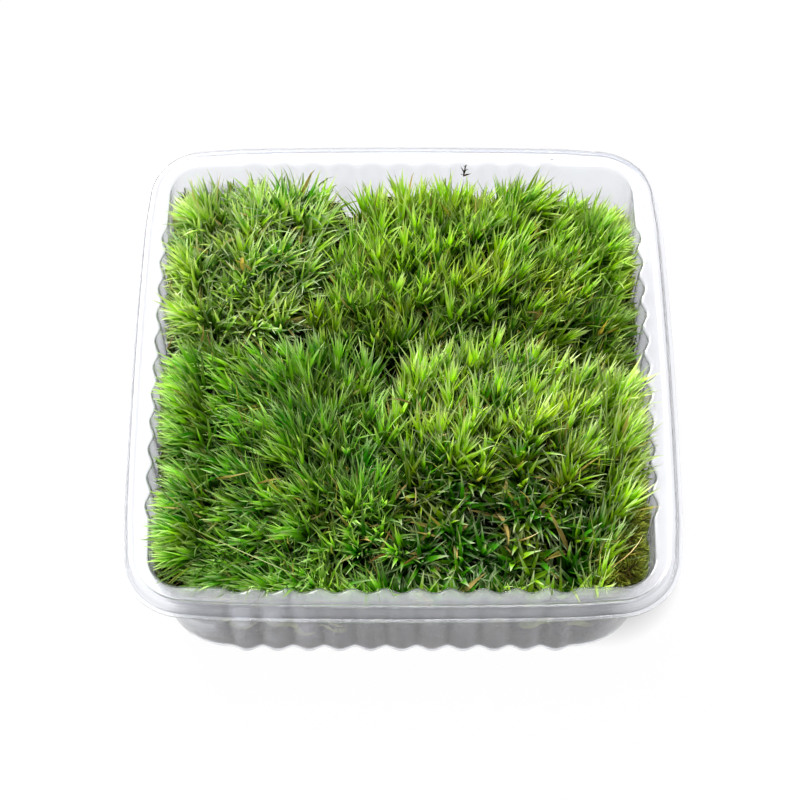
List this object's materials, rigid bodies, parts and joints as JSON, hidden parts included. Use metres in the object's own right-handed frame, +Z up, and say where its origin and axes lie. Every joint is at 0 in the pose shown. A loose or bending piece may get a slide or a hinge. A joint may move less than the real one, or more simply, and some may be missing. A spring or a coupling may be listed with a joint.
{
  "type": "moss clump",
  "caption": "Clumps of leafy fork-moss packed side by side in a square, clear, thermoformed tray with fluted walls and a ridged lip.",
  "frame": {"origin": "middle of the tray's flat underside, on the surface it stands on", "axes": "+Z up out of the tray's mouth, +X to the picture's right, -Y to the front that the picture shows"},
  "size_m": [0.142, 0.142, 0.0445],
  "materials": {
    "clear_sheet": "clear thermoformed PET sheet, glossy, with a faint blue-grey tint and mist on the inside",
    "moss_pale": "damp moss leaves, pale whitish green tips over mid green",
    "moss_bright": "damp moss leaves, yellow green",
    "moss_deep": "damp moss leaves, deep grass green",
    "moss_fresh": "damp moss leaves, fresh green with pale tips, olive brown at the front right corner"
  },
  "bodies": {
    "root": {"tray": "clear_sheet", "clump_back_left": "moss_pale", "clump_back_right": "moss_bright", "clump_front_left": "moss_deep", "clump_front_right": "moss_fresh"}
  },
  "joints": []
}
